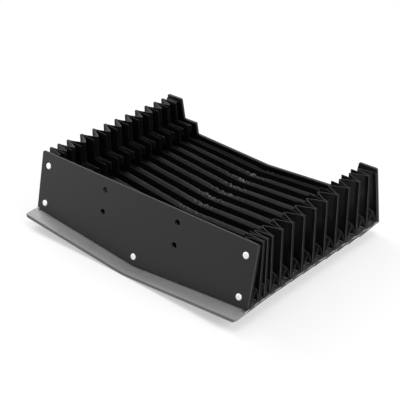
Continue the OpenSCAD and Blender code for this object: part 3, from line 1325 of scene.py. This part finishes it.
@dataclass
class LamellaSheet:
    """One stainless lamella: two wings that meet at the ridge, a bent hem and a clip behind.

    Attributes:
        number: Its number from the front.
        place: Where the frame that it hangs on stands.
        level: Height of its rear edge's ends.
        contour: The frames' outline and channel.
        length: Its length along the cover, without hem.
        slope: Its slope along the cover in degrees.
        thickness: Thickness of the sheet.
        hem: Width of the hem.
        hem_bend: Angle of the hem in degrees.
        bend: Width of the hem's rounded bend.
        clip: Height of the clip above the frame's lower edge.
        clip_x: Half the clip's width.
        fabric: Room for the fabric in front of the frame.
        reach: How far it stands out beside the folds.
        corner: How far the hem's corners are cut back.
        crest: Half the width over which the ridge is rounded.
        strip: Distance between its cuts along the cover.
        shares: Its cuts across, as shares of its length.
        wave: Size and frequencies of its waves.
        rims: From its end to where the painted highlight on the rim and the painted shade on the
            edge begin.
        shade_x: From the middle to where the painted shade beside the folds begins.
        shades: How dark the painted shade is beside the folds, and on its cut edge.
        faint: How bright the gaps in the painted highlight on the rim are.
        narrow: Widest cut edge, in thicknesses.
        square: Cosine below which two faces count as square to each other.
        smooth_angle: Angle in degrees above which a bend is shaded sharp.
    """

    number: int
    place: Place
    level: float
    contour: Contour = field(default_factory=Contour)
    length: float = 35 * MM
    slope: float = 5.0
    thickness: float = 0.3 * MM
    hem: float = 2.8 * MM
    hem_bend: float = 45.0
    bend: float = 0.5 * MM
    clip: float = 3.0 * MM
    clip_x: float = 131 * MM
    fabric: float = 0.64 * MM
    reach: float = 2.0 * MM
    corner: float = 4 * MM
    crest: float = 2.5 * MM
    strip: float = 12 * MM
    shares: tuple[float, ...] = (0.2, 0.4, 0.6, 0.8)
    wave: tuple[float, float, float] = (0.09 * MM, 14.0, 10.0)
    rims: tuple[float, float] = (1.7 * MM, 0.9 * MM)
    shade_x: float = 150 * MM
    shades: tuple[float, float] = (1.1, 1.3)
    faint: float = 0.25
    narrow: float = 1.3
    square: float = 0.5
    smooth_angle: float = 35.0

    def build(self, finishes: Finishes) -> Obj:
        """Models the lamella from a flat sheet.

        Args:
            finishes: The object's materials.

        Returns:
            The lamella's object.
        """
        bpy.ops.mesh.primitive_plane_add(size=1, location=(0, -self.length / 2, 0))
        sheet = bpy.context.object
        sheet.scale = (2 * self._end(), self.length, 1)
        apply_place()
        self._cut(sheet)
        self._add_hem(sheet)
        self._add_clip(sheet)
        self._bend_roof(sheet)
        solid = {"thickness": self.thickness, "offset": 1.0, "use_even_offset": True}
        apply_modifier(sheet, "SOLIDIFY", **solid)
        self._mark(sheet)
        smooth(sheet, self.smooth_angle)
        self._stand(sheet)
        settle(sheet, f"sheet_{self.number:02d}", finishes.steel)
        return sheet

    def _end(self) -> float:
        """How far the sheet reaches from the middle."""
        return self.contour.half + self.reach

    def _rims(self) -> tuple[float, float]:
        """Where the rim with a painted highlight and, outside it, the cut edge with painted shade
        begin.
        """
        return self._end() - self.rims[0], self._end() - self.rims[1]

    def _cut(self, sheet: Obj) -> None:
        """Divides the sheet at its middle, clip, rims and evenly between, and along its length.

        Args:
            sheet: The lamella.
        """
        edit_mesh(sheet, Element.FACE)
        strips = [k * self.strip for k in range(1, int(self.contour.half / self.strip) + 1)]
        cuts = [*self._rims(), self.clip_x, self.crest, self.shade_x, *strips]
        places = {0.0, *(round(side * x, CUT_DIGITS) for x in cuts for side in (-1, 1))}
        planes = [((x, 0, 0), (1, 0, 0)) for x in sorted(places)]
        planes += [((0, -self.length * share, 0), (0, 1, 0)) for share in self.shares]
        for spot, normal in planes:
            bpy.ops.mesh.select_all(action="SELECT")
            bpy.ops.mesh.bisect(plane_co=spot, plane_no=normal)
        leave_edit(sheet)

    def _add_hem(self, sheet: Obj) -> None:
        """Extrudes the hem down along the front edge, rounds its bend and cuts back its corners.

        Args:
            sheet: The lamella.
        """
        front, angle = -self.length, math.radians(self.hem_bend)
        drop, run = self.hem * math.sin(angle), self.hem * math.cos(angle)
        choose(sheet, Element.EDGE, lambda p: abs(p.y - front) < CLOSE)
        extrude((0, -run, -drop))
        leave_edit(sheet)
        choose(sheet, Element.EDGE, lambda p: abs(p.y - front) < CLOSE and abs(p.z) < CLOSE)
        bpy.ops.mesh.bevel(offset=self.bend, segments=3, profile=0.5)
        leave_edit(sheet)
        end = self._end() - self.corner
        for vertex in sheet.data.vertices:
            past = abs(vertex.co.x) - end
            if past > 0:
                vertex.co.x -= math.copysign(past * max(0.0, -vertex.co.z / drop), vertex.co.x)
        # The hem faces are marked for painted shade.
        in_hem = [float(f.center.y < front) for f in sheet.data.polygons]
        add_values(sheet.data, "hem", "FACE", in_hem)

    def _add_clip(self, sheet: Obj) -> None:
        """Turns the rear edge up into the clip that grips the fold's seam.

        Args:
            sheet: The lamella.
        """
        choose(sheet, Element.EDGE, lambda p: abs(p.y) < CLOSE and abs(p.x) < self.clip_x)
        up = Vector((0, self.place.up.y, self.place.up.z)).normalized()
        extrude(tuple(up * (self.clip + self.contour.lift)))
        leave_edit(sheet)

    def _bend_roof(self, sheet: Obj) -> None:
        """Lowers the middle to the ridge, tips the sheet to its slope and waves it slightly.

        Args:
            sheet: The lamella.
        """
        c = self.contour
        slope = math.tan(math.radians(self.slope))
        size, wave_x, wave_y = self.wave
        for vertex in sheet.data.vertices:
            p = vertex.co
            ridge = math.hypot(p.x, self.crest) - self.crest
            p.z += slope * min(p.y, 0.0) - (c.half - ridge) * c.ridge_drop / c.half
            slow = Draws.at(p.x * wave_x, p.y * wave_y, Draws.lamella * self.number)
            p.z += size * slow * min(1.0, max(0.0, -p.y / self.length))

    def _mark(self, sheet: Obj) -> None:
        """Marks the painted highlight on rims and cut edges with edge, and the painted shade with
        hem.

        Args:
            sheet: The lamella, as thick as it is.
        """
        mesh = sheet.data
        bright, dark = self._rims()
        lip = -self.length * (self.shares[2] if self.number == 1 else 1)
        across: EdgeFaces = {}
        for face in mesh.polygons:
            for key in face.edge_keys:
                across.setdefault(key, []).append(face.index)
        shade_marks = [item.value for item in mesh.attributes["hem"].data]
        edges = []
        for face in mesh.polygons:
            away, y, k = abs(face.center.x), face.center.y, face.index
            edge = float(away < dark and (away > bright or self._is_thin(mesh, face, across)))
            if away > dark:
                shade_marks[k] = self.shades[1]
            if away > self.shade_x and y > lip:
                shade_marks[k] = max(shade_marks[k], self.shades[0])
            elif away > bright and y > -self.length:
                shade_marks[k] = edge = 0.0
            dashed = away > bright and int(-y / self.length / self.shares[0]) % 2
            edges.append(edge * self.faint if dashed else edge)
        add_values(mesh, "hem", "FACE", shade_marks)
        add_values(mesh, "edge", "FACE", edges)

    def _is_thin(
        self, mesh: bpy.types.Mesh, face: bpy.types.MeshPolygon, across: EdgeFaces
    ) -> bool:
        """Tells the sheet's cut edge from its bends.

        Args:
            mesh: The lamella's mesh.
            face: One of its faces.
            across: The faces on each of its edges.

        Returns:
            True for a face as narrow as the sheet is thick, square to what lies beside it.
        """
        ends = mesh.vertices
        sides = {key: (ends[key[0]].co - ends[key[1]].co).length for key in face.edge_keys}
        short = sum(1 for side in sides.values() if side < self.narrow * self.thickness)
        others = [mesh.polygons[k] for k in across[max(sides, key=sides.get)] if k != face.index]
        turned = (abs(face.normal.dot(other.normal)) < self.square for other in others)
        return short >= 2 and all(turned)

    def _stand(self, sheet: Obj) -> None:
        """Moves the sheet behind the front face of its frame, turned with it.

        Args:
            sheet: The lamella.
        """
        place = self.place
        turn = math.atan2(place.across.y, place.across.x)
        depth = place.front - self.fabric
        height = (self.level - place.at(0, 0, depth).z) / place.up.z
        spot = Matrix.Translation(place.at(0, height, depth))
        sheet.data.transform(spot @ Matrix.Rotation(turn, 4, "Z"))


@dataclass
class CutPart:
    """A flat plate or frame, refined from its CAD node: its edges are rounded and marked.

    Attributes:
        node: The CAD node.
        round_off: Width of its rounded edges.
        segments: Faces across a rounded edge.
        edge_share: How much its cut walls are marked, from 0 to 1.
        bore_x: From the middle to the bores.
        bore_rim: Half the width of the strip that a bore lies in.
        flat: Cosine above which a face is one of the flat ones.
        square: Cosine below which a face is a cut wall.
        dissolve_angle: Angle in degrees below which faces are merged.
        bevel_angle: Angle in degrees above which an edge is rounded.
        smooth_angle: Angle in degrees above which an edge is shaded sharp.
        flat_weight: How much the large faces count in the evened normals.
    """

    node: Obj
    round_off: float
    segments: int = 2
    edge_share: float = 0.0
    bore_x: float = 52.5 * MM
    bore_rim: float = 4 * MM
    flat: float = 0.995
    square: float = 0.02
    dissolve_angle: float = 2.0
    bevel_angle: float = 40.0
    smooth_angle: float = 25.0
    flat_weight: int = 50

    def build(self, name: str, material: bpy.types.Material, normal: Vector) -> Obj:
        """Copies the node, merges it and rounds its edges.

        Args:
            name: The piece's name.
            material: Its material.
            normal: The direction that its flat faces look in.

        Returns:
            The refined piece.
        """
        piece = self.node.copy()
        piece.data = self.node.data.copy()
        piece.parent = None
        for key in list(piece.keys()):
            del piece[key]
        link(piece)
        edit_mesh(piece, Element.FACE)
        bpy.ops.mesh.select_all(action="SELECT")
        bpy.ops.mesh.remove_doubles(threshold=WELD)
        bpy.ops.mesh.dissolve_limited(angle_limit=math.radians(self.dissolve_angle))
        leave_edit(piece)
        bevel = {"width": self.round_off, "segments": self.segments, "harden_normals": False}
        limit = {"limit_method": "ANGLE", "angle_limit": math.radians(self.bevel_angle)}
        apply_modifier(piece, "BEVEL", **bevel, **limit)
        self._mark(piece.data, normal)
        smooth(piece, self.smooth_angle)
        evened = {"mode": "FACE_AREA", "weight": self.flat_weight, "keep_sharp": True}
        apply_modifier(piece, "WEIGHTED_NORMAL", **evened)
        settle(piece, name, material)
        return piece

    def _mark(self, mesh: bpy.types.Mesh, normal: Vector) -> None:
        """Marks rounded edges and cut walls with edge, and the walls of bores with bore.

        Args:
            mesh: The piece's mesh.
            normal: The direction that its flat faces look in.
        """
        edges, bores = [], []
        for face in mesh.polygons:
            facing = abs(face.normal.dot(normal))
            wall = self.edge_share if facing < self.square else 1.0
            edges.append(0.0 if facing > self.flat else wall)
            near = abs(abs(face.center.x) - self.bore_x) < self.bore_rim
            small = len(face.vertices) == 4 and face.area < self.bore_rim**2 / 2
            bores.append(float(near and small and facing < self.flat))
        add_values(mesh, "edge", "FACE", edges)
        add_values(mesh, "bore", "FACE", bores)


@dataclass
class RivetSet:
    """The blind rivets of one end plate, modelled once and copied.

    Attributes:
        name: Name of the piece that they make together.
        place: Where the end frame under the plate stands.
        spots: Each rivet's place across the plate, and its height.
        outside: Which way the heads look.
        face: The plate's outer face, measured along the frame's normal.
        through: Thickness of what they go through.
        head: Width of the head.
        head_height: Height of the head.
        crown: Share of that height that is rounded.
        bore: Width of the bore in the head.
        bore_depth: Depth of the bore.
        pin_gap: Gap round the drawn pin in the bore, and height of its end.
        shank: Width of the shank.
        tail: Width of the closed end.
        tail_height: Height of the closed end.
        chamfer: Width of the rods' chamfers.
        head_sides: Sides of the head.
        rod_sides: Sides of the shank and the closed end.
        crown_steps: Faces across the head's rounding.
        crown_profile: Fullness of that rounding.
        smooth_angle: Angle in degrees above which an edge is shaded sharp.
    """

    name: str
    place: Place
    spots: list[tuple[float, float]]
    outside: Outside
    face: float
    through: float
    head: float = 7.3 * MM
    head_height: float = 1.4 * MM
    crown: float = 0.85
    bore: float = 2.3 * MM
    bore_depth: float = 0.35 * MM
    pin_gap: float = 0.12 * MM
    shank: float = 4 * MM
    tail: float = 5 * MM
    tail_height: float = 0.6 * MM
    chamfer: float = 0.15 * MM
    head_sides: int = 40
    rod_sides: int = 32
    crown_steps: int = 6
    crown_profile: float = 0.55
    smooth_angle: float = 35.0

    def build(self, finishes: Finishes) -> Obj:
        """Builds the set.

        Args:
            finishes: The object's materials.

        Returns:
            One object with all the rivets.
        """
        model = self._model()
        copies = []
        for x, h in self.spots:
            copy = model.copy()
            copy.data = model.data.copy()
            link(copy)
            copy.data.transform(self._stand(x, h))
            copies.append(copy)
        bpy.data.objects.remove(model)
        piece = join(copies)
        settle(piece, self.name, finishes.rivet)
        smooth(piece, self.smooth_angle)
        return piece

    def _model(self) -> Obj:
        """Models one rivet along Z.

        Returns:
            The rivet, with its head's seat at height 0 and its shank and tail below.
        """
        top = self.head_height
        head = self._rod(self.head, top, top / 2, self.head_sides)
        choose(head, Element.FACE, lambda p: p.z > top - CLOSE and p.length < top + CLOSE)
        steps, profile = self.crown_steps, self.crown_profile
        bpy.ops.mesh.bevel(offset=self.crown * top, segments=steps, profile=profile)
        leave_edit(head)
        choose(head, Element.FACE, lambda p: p.z > top - CLOSE)
        bpy.ops.mesh.inset(thickness=self.head / 2 - self.crown * top - self.bore / 2)
        extrude((0, 0, -self.bore_depth))
        bpy.ops.mesh.inset(thickness=self.pin_gap)
        extrude((0, 0, self.pin_gap))
        leave_edit(head)
        rods = [head]
        low = -self.through
        for diameter, length in ((self.shank, self.through), (self.tail, self.tail_height)):
            rod = self._rod(diameter, length, low + length / 2, self.rod_sides)
            choose(rod, Element.FACE, lambda p: p.z < low + CLOSE)
            bpy.ops.mesh.bevel(offset=self.chamfer, segments=2)
            leave_edit(rod)
            rods.append(rod)
        return join(rods)

    @staticmethod
    def _rod(diameter: float, length: float, middle: float, sides: int) -> Obj:
        """Adds a cylinder along Z.

        Args:
            diameter: Its diameter.
            length: Its length.
            middle: The height of its middle.
            sides: How many sides it has.

        Returns:
            The cylinder.
        """
        bpy.ops.mesh.primitive_cylinder_add(
            vertices=sides, radius=diameter / 2, depth=length, location=(0, 0, middle)
        )
        apply_place(scale=False)
        return bpy.context.object

    def _stand(self, x: float, h: float) -> Matrix:
        """Places a rivet, with its Z axis pointing out of the plate's face.

        Args:
            x: Its place across the plate.
            h: Its height on the plate.

        Returns:
            Its matrix.
        """
        place = self.place
        out = place.normal * self.outside.value
        turn = Matrix((place.up.cross(out), place.up, out)).transposed().to_4x4()
        return Matrix.Translation(place.at(x, h, self.face)) @ turn


# The whole object


@dataclass
class Cover:
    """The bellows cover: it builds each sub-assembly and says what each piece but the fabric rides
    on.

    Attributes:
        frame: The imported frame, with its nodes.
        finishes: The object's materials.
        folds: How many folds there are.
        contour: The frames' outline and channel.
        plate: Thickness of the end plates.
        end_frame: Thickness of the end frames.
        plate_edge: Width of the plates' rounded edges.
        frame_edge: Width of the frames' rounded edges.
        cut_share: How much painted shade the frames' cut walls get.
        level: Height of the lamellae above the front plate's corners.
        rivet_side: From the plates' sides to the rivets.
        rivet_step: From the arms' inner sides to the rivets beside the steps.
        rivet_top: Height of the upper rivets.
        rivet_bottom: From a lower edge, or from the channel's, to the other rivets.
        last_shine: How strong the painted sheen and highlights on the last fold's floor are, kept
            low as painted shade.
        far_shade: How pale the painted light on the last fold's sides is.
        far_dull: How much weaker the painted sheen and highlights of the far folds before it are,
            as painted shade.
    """

    frame: dict
    finishes: Finishes
    folds: int = 13
    contour: Contour = field(default_factory=Contour)
    plate: float = 2.5 * MM
    end_frame: float = 1.6 * MM
    plate_edge: float = 0.35 * MM
    frame_edge: float = 0.2 * MM
    cut_share: float = 0.8
    level: float = 0.3 * MM
    rivet_side: float = 12 * MM
    rivet_step: float = 3 * MM
    rivet_top: float = 54 * MM
    rivet_bottom: float = 9.5 * MM
    last_shine: float = 0.15
    far_shade: float = 0.12
    far_dull: float = 0.4

    def __post_init__(self) -> None:
        """Measures where the support frames stand."""
        nodes, side, last = self.frame["nodes"], self.contour.side, self.folds
        middle = [f"frame_{k:02d}" for k in range(1, last)]
        self.frames = ["front_end_frame", *middle, "back_end_frame"]
        self.bodies = ["front_end", *(f"fold_{k:02d}" for k in range(1, last)), "back_end"]
        square = ["front_plate", *middle, "back_plate"]
        pairs = zip(self.frames, square)
        self.places = [Place.of_node(nodes[a], side, nodes[b]) for a, b in pairs]

    def build(self) -> None:
        """Builds every sub-assembly."""
        self.build_cut_parts()
        self.build_rivets()
        self.build_lamellae()
        self.build_fabric()

    def keep(self, piece: Obj, body: str, node: str) -> None:
        """Lets a piece ride on a body in place of a CAD node, and reports it.

        Args:
            piece: The piece.
            body: The body that it rides on.
            node: The CAD node that it replaces.
        """
        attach(piece, body)
        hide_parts(node)
        LOG.info("%s: %d faces on %s", piece.name, len(piece.data.polygons), body)

    def build_cut_parts(self) -> None:
        """Rounds the edges of the two end plates, the support frames and the two end frames."""
        for name, number in (("front_plate", 0), ("back_plate", self.folds)):
            part = CutPart(self.frame["nodes"][name], self.plate_edge, 3)
            piece = part.build(f"painted_{name}", self.finishes.plate, self.places[number].normal)
            self.keep(piece, self.bodies[number], name)
        for name, body, place in zip(self.frames, self.bodies, self.places):
            part = CutPart(self.frame["nodes"][name], self.frame_edge, edge_share=self.cut_share)
            piece = part.build(f"cut_{name}", self.finishes.frame, place.normal)
            self.keep(piece, body, name)

    def build_rivets(self) -> None:
        """Sets the rivets in both end plates."""
        c = self.contour
        side_x, step_x = c.half - self.rivet_side, c.arm - self.rivet_step
        top, bottom = self.rivet_top, self.rivet_bottom
        front_spots = [(s * side_x, h) for s in (-1, 1) for h in (top, bottom)]
        front_spots.append((0.0, bottom - c.ridge_drop))
        back_spots = [(s * side_x, top) for s in (-1, 1)]
        back_spots += [(s * step_x, c.ledge - bottom) for s in (-1, 1)]
        back_spots.append((0.0, c.floor - c.floor_drop - bottom))
        through = self.plate + self.end_frame
        front, back = self.places[0], self.places[-1]
        front_face, back_face = front.front - self.plate, back.rear + self.plate
        sets = (
            RivetSet("rivets_front", front, front_spots, Outside.FRONT, front_face, through),
            RivetSet("rivets_back", back, back_spots, Outside.BACK, back_face, through),
        )
        for rivets, number, node in zip(sets, (0, -1), ("front_rivets", "back_rivets")):
            self.keep(rivets.build(self.finishes), self.bodies[number], node)

    def build_lamellae(self) -> None:
        """Hangs the steel lamellae, all at the level of the front plate's lower corners."""
        front = self.places[0]
        level = front.at(0, 0, front.front - self.plate).z + self.level
        for number in range(1, self.folds + 1):
            piece = LamellaSheet(number, self.places[number], level).build(self.finishes)
            self.keep(piece, self.bodies[number], f"lamella_{number:02d}")

    def build_fabric(self) -> None:
        """Builds the folds' fabric between the two frames that each is welded to."""
        c = self.contour
        height = c.side / 2
        for number in range(1, self.folds + 1):
            ahead, behind = self.places[number - 1], self.places[number]
            far = max(0.0, (2 * number - self.folds) / self.folds)
            # Painted shade: the far folds' painted sheen and highlights are dimmed.
            shine = self.last_shine if number == self.folds else 1 - self.far_dull * far
            fold = FabricFold(number, ahead, behind, shine, self.far_shade * far * far)
            piece = fold.build(self.finishes)
            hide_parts(f"pleat_{number:02d}")
            start = ahead.at(0, height, ahead.rear)
            lengthways = (ahead.normal + behind.normal).normalized()
            run = (behind.at(0, height, behind.front) - start).dot(lengthways)
            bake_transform(piece)
            fold.flat_area()


# The studio


@dataclass(frozen=True)
class Viewpoint:
    """The photograph's camera, from a fit to the plates' corners and the folds."""

    azimuth: float = 41.49
    elevation: float = 28.94
    distance: float = 1.1529
    target: tuple[float, float, float] = (0.01145, -0.01459, 0.04791)
    focal_pixels: float = 1047.4
    picture_pixels: float = 400.0
    sensor_mm: float = 36.0
    nearest: float = 10 * MM

    def build(self) -> None:
        """Makes the camera and looks through it."""
        turn, lift = math.radians(self.azimuth), math.radians(self.elevation)
        level = math.cos(lift)
        way = Vector((math.sin(turn) * level, -math.cos(turn) * level, math.sin(lift)))
        data = bpy.data.cameras.new("camera")
        data.sensor_width = self.sensor_mm
        data.lens = self.focal_pixels / self.picture_pixels * self.sensor_mm
        data.clip_start = self.nearest
        spot = Vector(self.target) + way * self.distance
        bpy.context.scene.camera = stand("camera", data, spot, way)


@dataclass(frozen=True)
class Lamp:
    """One soft lamp: its place, what it looks at, its size and its power."""

    name: str
    spot: tuple[float, float, float]
    aim: tuple[float, float, float]
    size: tuple[float, float]
    watts: float

    def build(self) -> None:
        """Makes the lamp."""
        data = bpy.data.lights.new(self.name, "AREA")
        data.shape = "RECTANGLE"
        data.size, data.size_y = self.size
        data.energy = self.watts
        spot = Vector(self.spot)
        stand(self.name, data, spot, spot - Vector(self.aim))


@dataclass
class Studio:
    """White floor that keeps the cover's shadow, white surroundings and soft lamps from above.

    Attributes:
        viewpoint: The camera.
        floor_size: Width of the floor.
        floor_tone: Its colour.
        floor_rough: Its roughness.
        floor_gloss: Its specular level.
        floor_lift: How far it is lifted to white where it is seen.
        contact_lift: The same right beside the cover, lower there as a painted contact shadow.
        contact_reach: How far that painted contact shadow reaches.
        contact_samples: Samples that find it.
        shadow_reach: Distances from the middle between which shadows end.
        world_strength: Strength of the light from all round.
        lamps: The lamps.
    """

    viewpoint: Viewpoint = field(default_factory=Viewpoint)
    floor_size: float = 8.0
    floor_tone: Tone = grey(0.92)
    floor_rough: float = 0.8
    floor_gloss: float = 0.1
    floor_lift: float = 0.76
    contact_lift: float = 0.45
    contact_reach: float = 0.06
    contact_samples: int = 8
    shadow_reach: tuple[float, float] = (0.4, 0.9)
    world_strength: float = 0.22
    lamps: tuple[Lamp, ...] = (
        Lamp("key_left", (-1.2, 0.35, 1.15), (0, 0, 0.03), (0.9, 0.9), 19.0),
        Lamp("overhead", (0.35, -0.1, 1.6), (0, 0, 0), (1.3, 1.1), 10.0),
        Lamp("front_fill", (-0.62, -0.5, 0.2), (-0.15, -0.12, 0.03), (0.35, 0.35), 1.1),
        Lamp("right_fill", (1.2, 0.35, 0.85), (0.1, 0, 0), (0.7, 0.6), 11.0),
    )

    def build(self) -> None:
        """Builds the world, the floor, the lamps and the camera."""
        bpy.context.scene.view_settings.view_transform = "Standard"
        self._world()
        self._floor()
        for lamp in self.lamps:
            lamp.build()
        self.viewpoint.build()

    def _world(self) -> None:
        """Makes the world: white where it is seen, plain soft light otherwise."""
        world = bpy.data.worlds.new("surroundings")
        world.use_nodes = True
        bpy.context.scene.world = world
        sheet = Sheet(world.node_tree)
        strength = sheet.spread(sheet.seen(), 0, 1, self.world_strength, 1)
        back = sheet.add("Background", {"Color": grey(1), "Strength": strength})
        sheet.add("OutputWorld", {"Surface": back.outputs[0]})

    def _floor(self) -> None:
        """Lays the floor: lifted to white where it is seen, less so near the cover as a painted
        contact shadow.
        """
        deselect_all()
        bpy.ops.mesh.primitive_plane_add(size=self.floor_size, location=(0, 0, 0))
        floor = bpy.context.object
        floor.name = "floor"
        material = bpy.data.materials.new("white_floor")
        material.use_nodes = True
        sheet = Sheet(material.node_tree)
        keys = {"Base Color": self.floor_tone, "Roughness": self.floor_rough}
        matt = sheet.add("BsdfPrincipled", {**keys, "Specular IOR Level": self.floor_gloss})
        white = sheet.add("Emission", {"Color": grey(1), "Strength": 1.0})
        reach = {"Distance": self.contact_reach}
        # Painted contact shadow: ambient occlusion lowers the lift to white beside the cover.
        near = sheet.add("AmbientOcclusion", reach, samples=self.contact_samples)
        lift = sheet.spread(near.outputs["AO"], 0.5, 1, self.contact_lift, self.floor_lift)
        place = sheet.add("TexCoord").outputs["Object"]
        away = sheet.add("VectorMath", {0: place}, operation="LENGTH").outputs["Value"]
        lift = sheet.math("MAXIMUM", lift, sheet.spread(away, *self.shadow_reach))
        share = sheet.math("MULTIPLY", sheet.seen(), lift)
        blend = sheet.add("MixShader", {0: share, 1: matt.outputs[0], 2: white.outputs[0]})
        sheet.add("OutputMaterial", {"Surface": blend.outputs[0]})
        floor.data.materials.append(material)


def main() -> None:
    """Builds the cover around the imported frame, and the studio round it."""
    logging.basicConfig(level=logging.INFO, format="%(name)s: %(message)s")
    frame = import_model()
    Cover(frame, Finishes.make()).build()
    Studio().build()


if __name__ == "__main__":
    main()
